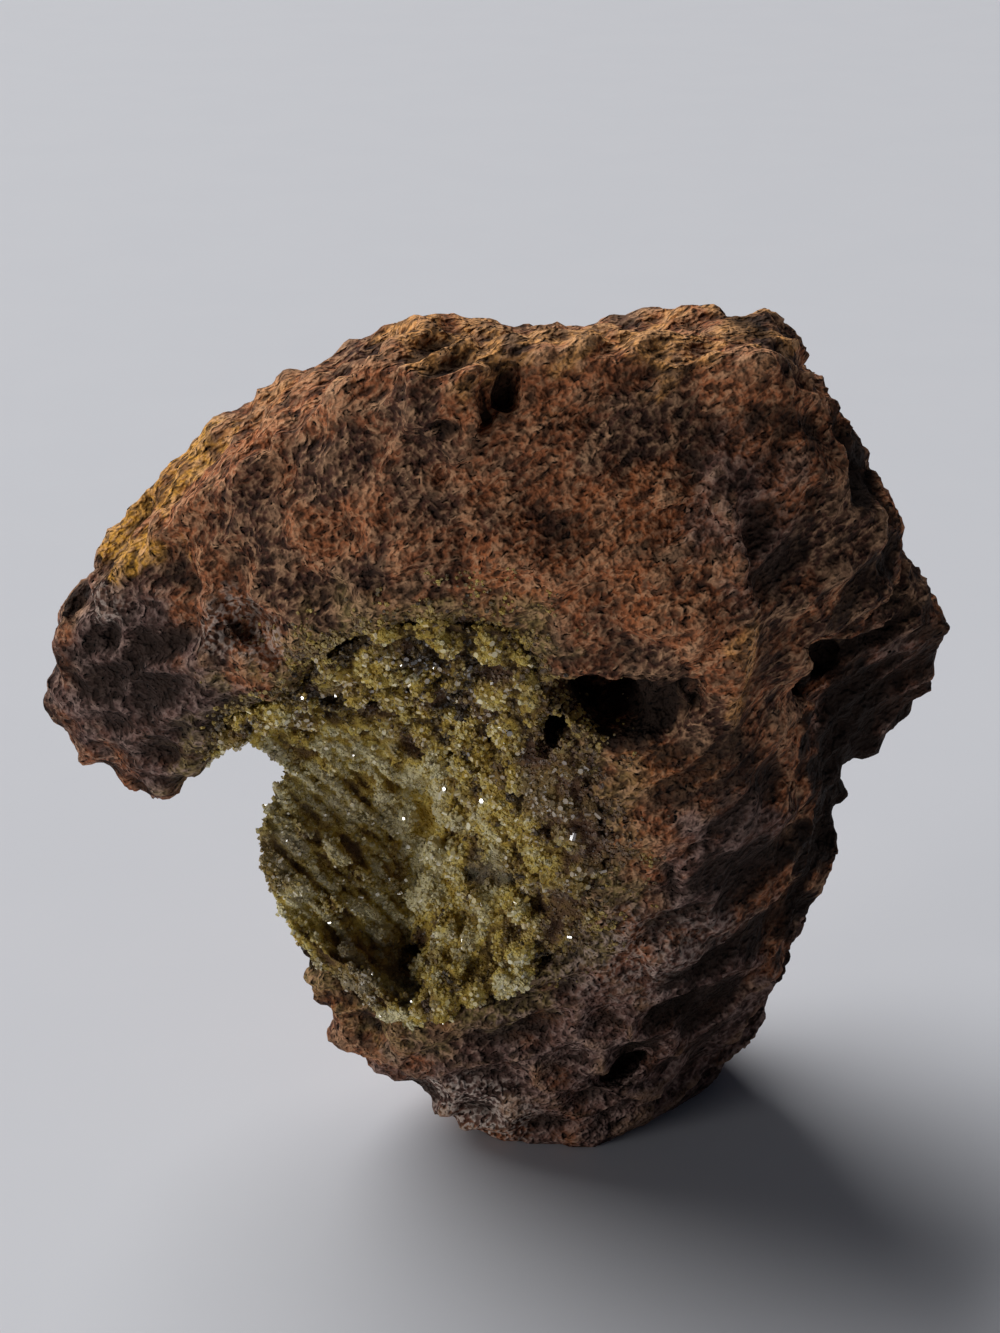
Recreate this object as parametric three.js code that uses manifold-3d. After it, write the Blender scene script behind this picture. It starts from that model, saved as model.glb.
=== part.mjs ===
// A pyromorphite specimen: a broken lump of iron-stained gossan that stands on a small flat foot,
// with a large open hollow in its display side and a druse of stubby six-sided crystals lining it.
//
// Units are millimetres. +Z is up, the display side faces -Y, and +X is to the onlooker's right.
// The origin is the middle of the foot, on the surface that the specimen stands on.
import * as THREE from "three";
import { ConvexGeometry } from "three/addons/geometries/ConvexGeometry.js";
import { TessellateModifier } from "three/addons/modifiers/TessellateModifier.js";
import { ImprovedNoise } from "three/addons/math/ImprovedNoise.js";
import { mergeVertices } from "three/addons/utils/BufferGeometryUtils.js";
import Module from "manifold-3d";

const wasm = await Module();
wasm.setup();

// ---- Driving dimensions ----

const ROCK_FACET = 8; // longest edge on the broken outer faces
const HOLLOW_FACET = 6; // longest edge on the wall of the hollow
const SPLIT_ROUNDS = 18; // enough halvings to bring any edge here under those
const MERGE = 1e-3; // corners closer than this are one corner

const SEAT_GAP = 0.3; // between the druse's back and the rock that carries it
const DRUSE_THICKNESS = 1.7; // of the solid layer under the crystals, left of the valley
const DRUSE_THICKNESS_VARIES = 0.6; // either way
const DRUSE_LUMP = 5; // wavelength of those lumps
const DRUSE_STEP = 1.6; // how much thicker the layer is right of the valley
const VALLEY_X = [-18.6, -15.6]; // where it thickens, from and to
const DRUSE_THINS = { from: -14, to: -27, left: 0.3 }; // towards the front rim, to this share

const CRYSTAL_RADIUS = [0.7, 1.25]; // smallest and largest, to the corners
const CRYSTAL_LENGTH = [1.9, 2.9];
const CRYSTAL_SIDES = 6;
const CRYSTAL_SPACING = 4.3; // least distance between the middles of two crystals
const CRYSTAL_TILT = 0.28; // most that one leans off the wall's normal, as a share of upright
const CRYSTAL_ROOT = 0.9; // how deep a crystal is sunk in the layer
const CRYSTAL_OUT = 0.08; // most of a crystal's volume that may stand out past the lump

const ROUGHNESS = [
  // relief of the weathered faces: wavelength, and how far a point is carried
  { wavelength: 19, shift: 1.5 },
  { wavelength: 7.5, shift: 0.75 },
];
const NOISE_APART = 31.7; // far enough apart for the three directions to differ
const PIT_ROUGHNESS = 0.56; // share of a pit's radius by which its wall wanders
const PIT_GRAIN = 0.9; // wavelength of that, in pit radii
const SMALL_PIT = 4.5; // a pit whose half-sizes are all below this needs only a few faces

const GROUND = { across: 200, deep: 40 }; // what the foot is cut off flat by

// ---- The lump's blocks: each is the convex block between its corners [x, y, z] ----

const CAP = [
  // the skyline, from the left end over the crest to the right end
  [-50, -7, 68], [-47, -3, 72], [-40.5, -1, 79.5], [-31, -1, 85], [-24.5, -2, 88],
  [-18, -2, 92], [3.5, -3, 92], [15.5, -5, 94], [19, -4, 91.5], [25, -2, 81.5],
  [29.5, -1, 71.5], [31.5, -1, 66],
  // the arris between the top and the display face, and down its right side
  [-42.5, -13, 72.5], [-33.5, -16, 82.5], [-25.5, -18, 89], [-17, -20, 93.5],
  [2.5, -20, 93.5], [14.5, -19, 91.5], [17.5, -19, 85.5], [27, -15, 73], [27, -15, 67.5],
  // the brow over the hollow, down to the chin on its left
  [12, -26, 68], [-1, -26.5, 76], [-19, -25.5, 76], [-26, -23, 67], [12.5, -25, 62.5],
  [19.5, -17, 60], [-27, -17, 57.5],
  // the back
  [-40, 10, 66], [-30, 18, 74], [-12, 23, 78], [6, 22, 80], [17, 14, 82], [27, 14, 68],
  [30, 16, 54], [-38, 12, 54], [-24, 22, 56], [4, 27, 58], [22, 24, 56], [-26, 16, 46], [8, 24, 44],
];
const BEAK = [
  // the blunt lobe that hangs from the cap's left end
  [-50, -11, 67], [-54, -8, 63.5], [-56.5, -7, 58.5], [-58, -5, 51], [-55, -5, 45.5],
  [-51, -5, 42], [-46.5, -6, 40.5], [-40, -6, 46], [-37, -7, 49], [-42.5, -13, 72.5],
  [-34, -19, 65], [-29, -19, 59.5], [-44, -14.5, 57.5], [-30, -8, 56],
  [-54, 2, 60], [-54, 3, 50], [-46, 4, 43], [-38, 6, 50], [-46, 5, 68],
];
const TRUNK = [
  // where it grows out of the brow
  [12, -26, 68], [-1, -25, 70],
  // the ridge that runs from there down to the hollow's tip
  [12.5, -24, 56], [4, -21, 43], [-5, -18, 28.5], [-19, -15, 17],
  // the right arris and the stepped right edge behind it
  [17.5, -17, 51], [18.5, -14, 37], [20, -8, 22], [16, 1, 1.5],
  [21, 1, 8], [23, 3, 15], [26.5, 3, 27], [28.5, 1, 42.5],
  // the foot, a little below the surface so that it is cut off flat
  [-8, -11, -1.5], [1, -11, -1.5], [12, -3, -1.5], [15, 2, -1.5], [10, 11, -1.5],
  [-7, 10, -1.5], [-11, -3, -1.5],
  // the left edge, from the toe up to the shoulder under the beak
  [-18, -9, 3], [-28, -8, 10], [-29.5, -9.5, 17.5], [-31.4, -7.5, 25.6], [-34.8, -7.5, 30.6],
  [-36, -7.5, 36.5], [-34.4, -7.5, 44], [-28, 0, 50],
  // the back
  [10, 5, 60], [20, 20, 44], [4, 24, 44], [-20, 16, 44], [16, 18, 22], [0, 19, 20],
  [-20, 10, 18], [-28, 6, 36],
];
const NECK = [
  // the web of rock between the beak's underside and the trunk's shoulder
  [-37.4, -6, 48.3], [-32.7, -6, 43.4], [-28, -8, 40], [-24, -20, 47], [-26, -17, 60],
  [-34, -14, 60], [-35, 4, 52], [-30, 6, 42], [-24, 8, 56],
];
const BUMP = [
  // a squarish lump that stands out of the crest
  [-18.4, -21, 92.8], [-10.6, -20.5, 93.4], [-11, -24.6, 87.6], [-18, -24.2, 88.4],
  [-16.8, -23.4, 92.8], [-11.4, -23.8, 92.8], [-14, -24.4, 84], [-20, -19, 88], [-14, -16, 90],
];
const KNOB = [
  // the block that stands out past the cap's right side, behind the cleft
  [36.5, -3, 59], [36, -1, 54.5], [35, 1, 46.5], [30, -1, 44.5], [31.5, -3, 66],
  [20, -11, 56], [22, -12, 64], [33, 10, 60], [33, 12, 50], [27, 14, 46], [26, 12, 64],
  [14, 0, 62], [14, 0, 46],
];

// ---- What is missing from the lump ----

const HOLLOW = [
  // the deepest line, from the vault down the valley to its tip
  [-12.5, -9, 56.5], [-13.8, -2, 46.5], [-16, 2, 37.6], [-17.4, 2, 26.2], [-18.6, -2, 18.6],
  [-20.2, -11, 15.3],
  // out past the left rim, which opens under the beak
  [-40.5, -4, 50], [-40.5, -7, 43.5], [-42.3, -8, 36.7], [-42.1, -9.5, 29.5], [-29.5, -20, 31],
  // along the bare toe at the lower left
  [-21.3, -24, 24.4], [-18.8, -28, 25.2], [-25, -9.5, 20],
  // out past the brow and the right rim
  [-32, -26, 60], [-15.5, -31, 76], [-7, -31, 74.5], [-4.5, -29, 67], [-2, -26, 59], [0.5, -24, 51],
  [2.5, -22.5, 43.5], [0.5, -20.5, 34.5], [-4, -20, 26],
  [-18, -40, 45],
];

// ---- Solids from geometry, and back ----

/** The closed solid that a geometry bounds. */
function solidOf(geometry) {
  const bare = new THREE.BufferGeometry().setAttribute(
    "position",
    (geometry.index ? geometry.toNonIndexed() : geometry).getAttribute("position"),
  );
  const merged = mergeVertices(bare, MERGE);
  return new wasm.Manifold(
    new wasm.Mesh({
      numProp: 3,
      vertProperties: merged.attributes.position.array,
      triVerts: new Uint32Array(merged.index.array),
    }),
  );
}

/** A solid's surface as an indexed geometry whose faces share their corners. */
function geometryOf(solid) {
  const mesh = solid.getMesh();
  return new THREE.BufferGeometry()
    .setAttribute("position", new THREE.BufferAttribute(mesh.vertProperties, 3))
    .setIndex(new THREE.BufferAttribute(mesh.triVerts, 1));
}

/** The convex block between corners [x, y, z]. */
function block(corners) {
  return solidOf(new ConvexGeometry(corners.map((corner) => new THREE.Vector3(...corner))));
}

/** A solid's surface with no edge longer than longest, its corners shared. */
function refined(solid, longest) {
  const fine = new TessellateModifier(longest, SPLIT_ROUNDS).modify(geometryOf(solid));
  return mergeVertices(fine, MERGE);
}

// ---- Weathering ----

const noise = new ImprovedNoise();

/** A smooth random number from -1 to 1 at a point, for features of this wavelength. */
function rumple(point, wavelength, channel = 0) {
  const shifted = channel * NOISE_APART;
  return noise.noise(
    point.x / wavelength + shifted,
    point.y / wavelength + shifted,
    point.z / wavelength - shifted,
  );
}

/** Carries a point by the relief of weathered faces. */
function weather(point) {
  const start = point.clone();
  for (const { wavelength, shift } of ROUGHNESS) {
    point.x += shift * rumple(start, wavelength, 1);
    point.y += shift * rumple(start, wavelength, 2);
    point.z += shift * rumple(start, wavelength, 3);
  }
  return point;
}

/** Moves every corner of a geometry by move(point, normal), in place. */
function reshape(geometry, move) {
  geometry.computeVertexNormals();
  const { position, normal } = geometry.attributes;
  const point = new THREE.Vector3();
  const outward = new THREE.Vector3();
  for (let i = 0; i < position.count; i += 1) {
    point.fromBufferAttribute(position, i);
    outward.fromBufferAttribute(normal, i);
    move(point, outward);
    position.setXYZ(i, point.x, point.y, point.z);
  }
  return geometry;
}

/** Turns a geometry by [x, y, z] degrees, about each axis after the other. */
function turned(geometry, [x, y, z]) {
  geometry.rotateX(THREE.MathUtils.degToRad(x));
  geometry.rotateY(THREE.MathUtils.degToRad(y));
  geometry.rotateZ(THREE.MathUtils.degToRad(z));
  return geometry;
}

/** A rough-walled pit: middle [x, y, z], half-sizes [x, y, z] and turn [x, y, z] in degrees. */
function pit({ at, half, turn = [0, 0, 0] }) {
  const fineness = Math.max(...half) < SMALL_PIT ? 1 : 2;
  const ball = new THREE.BufferGeometry().setAttribute(
    "position",
    new THREE.IcosahedronGeometry(1, fineness).getAttribute("position"),
  );
  const wall = mergeVertices(ball, MERGE);
  const middle = new THREE.Vector3(...at);
  reshape(wall, (point) => {
    const seed = point.clone().add(middle);
    point.multiplyScalar(1 + PIT_ROUGHNESS * rumple(seed, PIT_GRAIN));
  });
  wall.scale(...half);
  return solidOf(turned(wall, turn).translate(...at));
}

// ---- The rock ----

const DRUSE_PITS = [
  // these break the druse's edge too
  { at: [-0.2, -20.4, 60.2], half: [4.8, 9.2, 3.9], turn: [0, 10, 0] }, // the dark vug
  { at: [4.8, -23.8, 59], half: [3.3, 3.4, 2.6], turn: [0, 24, 0] }, // its shallow right end
  { at: [-5.2, -17, 57], half: [1.9, 8, 3.1] }, // a narrow hole left of it
];
const ROCK_PITS = [
  { at: [3.5, -14, 12], half: [3.8, 4.5, 1.9], turn: [0, -24, 0] }, // low on the front
  { at: [-52, -10, 64], half: [2, 4, 2.8], turn: [0, 30, 0] }, // on the beak's nose
  { at: [-9.4, -21, 90.5], half: [1.3, 3, 2.6], turn: [0, 14, 0] }, // the gully beside the bump
  { at: [-32, -16.5, 83.5], half: [1.2, 2, 1] }, // on the crest's left shoulder
  { at: [-20.2, -9, 22], half: [1, 7, 4.4], turn: [0, 6, 0] }, // the slot at the hollow's toe
  { at: [-22, 21, 66], half: [5, 4, 3.4], turn: [0, 20, 0] }, // the rest are on the back
  { at: [10, 24, 63], half: [3.4, 4, 2.6] },
  { at: [6, 23, 33], half: [6, 4.5, 4], turn: [0, -30, 0] },
  { at: [25, 13, 36], half: [3, 4, 4] },
];
const TROUGH = [
  // the shallow dip across the crest
  [-17, -14, 93.6], [-17, 10, 91.2], [13, -14, 94], [13, 10, 93], [-6, -12, 91.2], [2, -12, 91.2],
  [-6, 8, 89.2], [2, 8, 89.4], [-14, 0, 99], [10, 0, 99],
];
const CLEFT = [
  // the shadowed wedge under the display face's right corner
  [18.4, -22, 65.6], [20.4, -7, 59.8], [19.2, -22, 59.6], [21.3, -7, 54.2], [29.5, -24, 68.6],
  [27.8, -12, 63.2], [29, -20, 64.5],
];
const STEPS = {
  // the notches down the lower right edge, from the highest to the lowest
  count: 5, from: [31, -1, 40], to: [21.5, 0, 7],
  size: [5.2, 14, 4.2],
  turn: { slope: 20, every: 12, first: -18, fan: 9 }, // degrees
};

/** The notches that step down the lower right edge. */
function steps() {
  const { count, size, turn } = STEPS;
  const from = new THREE.Vector3(...STEPS.from);
  const to = new THREE.Vector3(...STEPS.to);
  const made = [];
  for (let i = 0; i < count; i += 1) {
    const at = from.clone().lerp(to, (i + 0.5) / count);
    const slope = turn.slope + turn.every * (i % 2);
    const fan = turn.first + turn.fan * (i % 3);
    const notch = turned(new THREE.BoxGeometry(...size), [0, slope, fan]);
    made.push(solidOf(notch.translate(at.x, at.y, at.z)));
  }
  return made;
}

/** The lump as it was before the hollow and the pits opened in it, standing on its foot. */
function lump() {
  const grownTogether = [CAP, BEAK, TRUNK, NECK, KNOB, BUMP].map(block);
  const whole = grownTogether.reduce((sum, next) => sum.add(next));
  const missing = [block(CLEFT), block(TROUGH), ...steps()];
  const chipped = missing.reduce((left, gone) => left.subtract(gone), whole);
  const weathered = solidOf(reshape(refined(chipped, ROCK_FACET), weather));
  const ground = new THREE.BoxGeometry(GROUND.across, GROUND.across, GROUND.deep);
  return weathered.subtract(solidOf(ground.translate(0, 0, -GROUND.deep / 2)));
}

// ---- The hollow and the druse that lines it ----

/** The hollow's wall as a closed geometry, drawn in by inset(point) along its normals. */
function hollow(inset) {
  const walls = reshape(refined(block(HOLLOW), HOLLOW_FACET), weather);
  return reshape(walls, (point, outward) => point.addScaledVector(outward, -inset(point)));
}

/** How far the druse's face stands in from the rock at a point. */
function drusePile(point) {
  const step = DRUSE_STEP * THREE.MathUtils.smoothstep(point.x, ...VALLEY_X);
  const deep = THREE.MathUtils.smoothstep(point.y, DRUSE_THINS.to, DRUSE_THINS.from);
  const share = THREE.MathUtils.lerp(DRUSE_THINS.left, 1, deep);
  const lumps = DRUSE_THICKNESS_VARIES * rumple(point, DRUSE_LUMP);
  return SEAT_GAP + share * (DRUSE_THICKNESS + step + lumps);
}

/** A repeatable random number generator, from 0 to 1: a linear congruential one. */
function dice(seed) {
  const multiplier = 1664525;
  const increment = 1013904223;
  let state = seed;
  return () => {
    state = (Math.imul(state, multiplier) + increment) >>> 0;
    return state / 2 ** 32;
  };
}

/** Six-sided prisms standing on the druse's face, where the lump around them has room. */
function crystals(face, room) {
  const roll = dice(7);
  const between = ([low, high]) => low + (high - low) * roll();
  const { position, normal } = face.attributes;
  const taken = [];
  const up = new THREE.Vector3(0, 1, 0);
  for (let i = 0; i < position.count; i += 1) {
    const foot = new THREE.Vector3().fromBufferAttribute(position, i);
    if (taken.some(({ at }) => at.distanceTo(foot) < CRYSTAL_SPACING)) continue;
    const lean = new THREE.Vector3(roll() - 0.5, roll() - 0.5, roll() - 0.5);
    const inward = new THREE.Vector3().fromBufferAttribute(normal, i).negate();
    inward.addScaledVector(lean, 2 * CRYSTAL_TILT).normalize();
    const length = between(CRYSTAL_LENGTH);
    const radius = between(CRYSTAL_RADIUS);
    const prism = new THREE.CylinderGeometry(radius, radius, length, CRYSTAL_SIDES);
    prism.translate(0, length / 2 - CRYSTAL_ROOT, 0);
    prism.rotateY(roll() * Math.PI);
    prism.applyQuaternion(new THREE.Quaternion().setFromUnitVectors(up, inward));
    prism.translate(foot.x, foot.y, foot.z);
    taken.push({ at: foot, solid: solidOf(prism) });
  }
  const fits = ({ solid }) => solid.subtract(room).volume() < CRYSTAL_OUT * solid.volume();
  return taken.filter(fits).map(({ solid }) => solid);
}

/** A solid with each of the openings cut out of it. */
function opened(solid, openings) {
  return openings.reduce((left, opening) => left.subtract(opening), solid);
}

/** The biggest of a solid's separate bodies, with its closest corners merged. */
function biggest(solid) {
  const bodies = solidOf(geometryOf(solid)).decompose();
  return bodies.reduce((most, next) => (next.volume() > most.volume() ? next : most));
}

const whole = lump();
const drusePits = DRUSE_PITS.map(pit);
const rockPits = ROCK_PITS.map(pit);
const wall = solidOf(hollow(() => 0));
const rock = biggest(opened(whole, [wall, ...drusePits, ...rockPits]));

const seat = solidOf(hollow(() => SEAT_GAP));
const face = hollow(drusePile);
face.computeVertexNormals();
const layer = seat.subtract(solidOf(face)).intersect(whole);
const grown = crystals(face, whole).reduce((sum, prism) => sum.add(prism), layer);
const druse = biggest(opened(grown.intersect(seat), drusePits));

// ---- Materials and the group ----

const gossan = new THREE.MeshStandardMaterial({ color: 0x6b4a3a, roughness: 0.92, metalness: 0 });
const pyromorphite = new THREE.MeshStandardMaterial({ color: 0x8f8446, roughness: 0.45, metalness: 0 });

/** A named mesh of a finished solid, faceted. */
function piece(name, solid, material) {
  const mesh = new THREE.Mesh(geometryOf(solid).toNonIndexed(), material);
  mesh.geometry.computeVertexNormals();
  mesh.name = name;
  return mesh;
}

const specimen = new THREE.Group();
specimen.name = "pyromorphite_specimen";
specimen.add(piece("gossan_matrix", rock, gossan));
specimen.add(piece("pyromorphite_druse", druse, pyromorphite));

export default specimen;
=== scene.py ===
"""A hand-size pyromorphite specimen: a lump of gossan with a crystal druse in its hollow.

The lump, the crust and their crystals are built in metres, in the frame's own place. Sizes in the
dataclasses are in millimetres, which is how a specimen is measured.
"""

import logging
import math
import random
from dataclasses import dataclass, field
from enum import Enum, IntEnum

import bpy
import numpy as np
from bpy.types import Material, Node, NodeSocket, NodeTree, Object
from mathutils import Matrix, Vector, noise
from mathutils.bvhtree import BVHTree
from mathutils.kdtree import KDTree


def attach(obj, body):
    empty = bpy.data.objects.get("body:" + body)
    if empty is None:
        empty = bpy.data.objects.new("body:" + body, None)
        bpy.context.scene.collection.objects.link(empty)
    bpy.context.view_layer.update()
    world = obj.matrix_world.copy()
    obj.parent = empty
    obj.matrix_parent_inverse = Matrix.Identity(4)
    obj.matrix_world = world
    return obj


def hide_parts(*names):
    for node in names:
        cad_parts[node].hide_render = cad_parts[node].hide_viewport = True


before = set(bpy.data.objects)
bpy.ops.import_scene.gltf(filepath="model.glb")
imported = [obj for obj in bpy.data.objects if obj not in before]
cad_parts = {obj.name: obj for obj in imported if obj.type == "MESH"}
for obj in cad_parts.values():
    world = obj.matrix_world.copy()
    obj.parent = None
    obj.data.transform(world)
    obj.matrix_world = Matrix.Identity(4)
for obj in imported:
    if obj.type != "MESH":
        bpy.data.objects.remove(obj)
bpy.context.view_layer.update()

MM = 0.001
BODY = "root"
SLANT = (0.0, math.radians(60), math.radians(24))  # the way the rock's grain lies
WELD = 0.005  # corners of a CAD node that are closer than this are one, in millimetres
GROUP_STEPS = 20  # a vertex group's weights are kept in this many steps
NOISE_APART = 17.3  # how far apart two seeds' places in the noise lie
NOISE_FALLOFF = 1.0  # how fast its finer scales fade
NOISE_STEP = 2.0  # how much finer each is than the last
PATCH_FRAY = 4.0  # size of the bits that a patch's edge is frayed into, in millimetres
PATCH_EDGE = (1.1, 0.5)  # where a patch begins and where it is whole, as shares of its reach
CLEAR = 0.05  # how far off a surface a ray starts, in millimetres
CREASE_FRAY = 1.6  # size of the bits that a crease's edge is frayed into, in millimetres
CREASE_RAGGED = 0.6  # how far they fray it, as a share of its width
MIDDLE = 0.5  # the middle of a noise texture, which runs from 0 to 1
Point = tuple[float, float, float]
Range = tuple[float, float]
Array = np.ndarray
log = logging.getLogger("specimen")


class Basis(Enum):
    """The noises that weathering is made of."""

    CLOUD = "CLOUDS"
    RIDGE = "MUSGRAVE"
    CELL = "VORONOI"


class Seed(IntEnum):
    """The noise that each pattern takes, so that two patterns don't agree by chance."""

    RUST = 1
    OCHRE = 2
    PLUM = 3
    DUST = 4
    OLIVE = 5
    SHELTER = 6
    SHADE_ROCK = 7
    PALE_AND_LIT = 8
    SHADE_CRUST = 9
    SILVER = 10
    BROWN = 11
    FRINGE = 12
    FRESH_AND_HIGHLIGHT = 15
    PITTED = 21
    STRIPES = 23
    RUSTY = 24
    BROKEN = 25
    CREASE = 41
    TONE = 7  # the crust's own; it shares its number with the painted shade's noise, which is laid only on the rock


@dataclass(frozen=True)
class Bite:
    """One scale of weathering: a noise, the size of its lumps and how deep it goes, in millimetres."""

    name: str
    basis: Basis
    size: float
    depth: float
    group: str = ""
    stretch: Point = (1.0, 1.0, 1.0)
    turn: Point = (0.0, 0.0, 0.0)
    middle: float = 0.5
    ramp: Range | None = None
    settings: dict = field(default_factory=dict)


@dataclass(frozen=True)
class Patch:
    """An ellipsoid of the surface with a look of its own, in millimetres."""

    centre: Point
    reach: Point
    strength: float


@dataclass(frozen=True)
class Crease:
    """A crease along a broken line, in millimetres; a negative depth makes it a ridge."""

    width: float
    depth: float
    path: tuple[Point, ...]


def patches(*rows: tuple[float, ...]) -> tuple[Patch, ...]:
    """Patches from rows of seven numbers: the centre's three, the reach's three and the strength."""
    return tuple(Patch(row[:3], row[3:6], row[6]) for row in rows)


def linear(code: str) -> tuple[float, float, float, float]:
    """The linear colour of an sRGB hex code.

    Args:
        code: six hex digits after a hash.

    Returns:
        Red, green, blue and alpha.
    """
    parts = [int(code[i : i + 2], 16) / 255 for i in (1, 3, 5)]
    # the sRGB curve: a straight foot, then a power
    parts = [c / 12.92 if c <= 0.04045 else ((c + 0.055) / 1.055) ** 2.4 for c in parts]
    return (*parts, 1.0)


def only(obj: Object) -> None:
    """Select and activate one object alone.

    Args:
        obj: the object that the next operator acts on.
    """
    bpy.ops.object.select_all(action="DESELECT")
    obj.select_set(True)
    bpy.context.view_layer.objects.active = obj


def modify(obj: Object, kind: str, **settings: object) -> None:
    """Put a piece through a modifier.

    Args:
        obj: the piece.
        kind: the modifier's type.
        settings: the modifier's own properties.
    """
    only(obj)
    bpy.ops.object.modifier_add(type=kind)
    modifier = obj.modifiers[-1]
    for key, value in settings.items():
        setattr(modifier, key, value)
    bpy.ops.object.modifier_apply(modifier=modifier.name)


def cad_copy(node: str, name: str, voxel: float) -> Object:
    """Copy a CAD node, which is left alone, as one even mesh that can be weathered.

    Args:
        node: the CAD node's name.
        name: the new piece's name.
        voxel: edge length of the new mesh, in millimetres.

    Returns:
        The copy, at the origin.
    """
    copy = bpy.data.objects.new(name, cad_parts[node].data.copy())
    bpy.context.scene.collection.objects.link(copy)
    copy.data.materials.clear()
    only(copy)
    bpy.ops.object.mode_set(mode="EDIT")
    bpy.ops.mesh.select_all(action="SELECT")
    bpy.ops.mesh.remove_doubles(threshold=WELD * MM)
    bpy.ops.object.mode_set(mode="OBJECT")
    modify(copy, "REMESH", mode="VOXEL", voxel_size=voxel * MM)
    keep_largest(copy)
    return copy


def keep_largest(obj: Object) -> None:
    """Delete the crumbs that come loose from a thin piece when it is remeshed.

    Args:
        obj: the piece.
    """
    ends = np.empty(2 * len(obj.data.edges), np.int32)
    obj.data.edges.foreach_get("vertices", ends)
    first, second = ends.reshape(-1, 2).T
    island = np.arange(len(obj.data.vertices))
    # each vertex takes the lowest number that it can reach along the edges
    while (island[first] != island[second]).any():
        lowest = np.minimum(island[first], island[second])
        np.minimum.at(island, first, lowest)
        np.minimum.at(island, second, lowest)
        island = island[island]
    names, sizes = np.unique(island, return_counts=True)
    if len(names) == 1:
        return
    keep = names[sizes.argmax()]
    only(obj)
    bpy.ops.object.mode_set(mode="EDIT")
    bpy.ops.mesh.select_all(action="DESELECT")
    bpy.ops.object.mode_set(mode="OBJECT")
    obj.data.vertices.foreach_set("select", island != keep)
    bpy.ops.object.mode_set(mode="EDIT")
    bpy.ops.mesh.delete(type="VERT")
    bpy.ops.object.mode_set(mode="OBJECT")


def read_vectors(items: bpy.types.bpy_prop_collection, name: str) -> Array:
    """Read one vector of each of a mesh's items.

    Args:
        items: its vertices or their normals.
        name: the vector's name.

    Returns:
        A vector for each item.
    """
    flat = np.empty(3 * len(items), np.float32)
    items.foreach_get(name, flat)
    return flat.reshape(-1, 3).astype(float)


def points_of(obj: Object) -> Array:
    """Where a piece's vertices are, in millimetres."""
    return read_vectors(obj.data.vertices, "co") / MM


def normals_of(obj: Object) -> Array:
    """Which way each of a piece's vertices looks."""
    return read_vectors(obj.data.vertex_normals, "vector")


def wander(points: Array, size: float, seed: int, octaves: int = 2) -> Array:
    """Smooth noise over the points.

    Args:
        points: places in millimetres.
        size: the size of its lumps, in millimetres.
        seed: which noise.
        octaves: how many finer scales it has.

    Returns:
        About -1 to 1 for each point.
    """
    places = points / size + NOISE_APART * seed
    return np.array([noise.fractal(Vector(p), NOISE_FALLOFF, NOISE_STEP, octaves) for p in places])


def smooth(value: Array, low: float, high: float) -> Array:
    """0 below low, 1 above high, and a smooth step between; high may be the lower of the two."""
    t = np.clip((value - low) / (high - low), 0.0, 1.0)
    return t * t * (3 - 2 * t)


def spread(points: Array, marks: tuple[Patch, ...], seed: int, ragged: float = 0.35) -> Array:
    """How much each point belongs to the patches.

    Args:
        points: places in millimetres.
        marks: the patches.
        seed: which noise frays their edges.
        ragged: how far it frays them, as a share of their reach.

    Returns:
        0 to 1 for each point.
    """
    fray = ragged * wander(points, PATCH_FRAY, seed, 3)
    total = np.zeros(len(points))
    for patch in marks:
        away = np.linalg.norm((points - patch.centre) / np.array(patch.reach), axis=1)
        total = np.maximum(total, patch.strength * smooth(away - fray, *PATCH_EDGE))
    return total


def write_attribute(obj: Object, name: str, values: Array) -> None:
    """Give each vertex of a piece a number that its material reads."""
    attribute = obj.data.attributes.new(name, "FLOAT", "POINT")
    attribute.data.foreach_set("value", values.astype(np.float32))


def write_group(obj: Object, name: str, weights: Array) -> None:
    """Give a piece a vertex group.

    Args:
        obj: the piece.
        name: the group's name.
        weights: a weight for each vertex.
    """
    group = obj.vertex_groups.new(name=name)
    steps = np.round(np.clip(weights, 0, 1) * GROUP_STEPS).astype(int)
    for step in range(1, GROUP_STEPS + 1):
        chosen = np.nonzero(steps == step)[0]
        if len(chosen):
            group.add(chosen.tolist(), step / GROUP_STEPS, "REPLACE")


def weather(obj: Object, bites: tuple[Bite, ...]) -> Array:
    """Cut a series of noises into a surface, one displacement after another.

    Args:
        obj: the piece.
        bites: the noises, coarse first.

    Returns:
        How far each vertex came out, in millimetres.
    """
    before, facing = points_of(obj), normals_of(obj)
    for bite in bites:
        texture = bpy.data.textures.new(bite.name, bite.basis.value)
        texture.noise_scale = bite.size * MM
        if bite.ramp:
            texture.use_color_ramp = True
            ends = texture.color_ramp.elements
            ends[0].position, ends[1].position = bite.ramp
            ends[0].color, ends[1].color = (0, 0, 0, 1), (1, 1, 1, 1)
        for key, value in bite.settings.items():
            setattr(texture, key, value)
        bpy.ops.object.empty_add(rotation=bite.turn)
        grid = bpy.context.active_object
        grid.scale = bite.stretch
        bpy.context.view_layer.update()
        modify(
            obj, "DISPLACE", texture=texture, texture_coords="OBJECT", texture_coords_object=grid,
            mid_level=bite.middle, strength=bite.depth * MM, vertex_group=bite.group,
        )
        bpy.data.objects.remove(grid)
        bpy.data.textures.remove(texture)
    return ((points_of(obj) - before) * facing).sum(axis=1)


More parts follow.
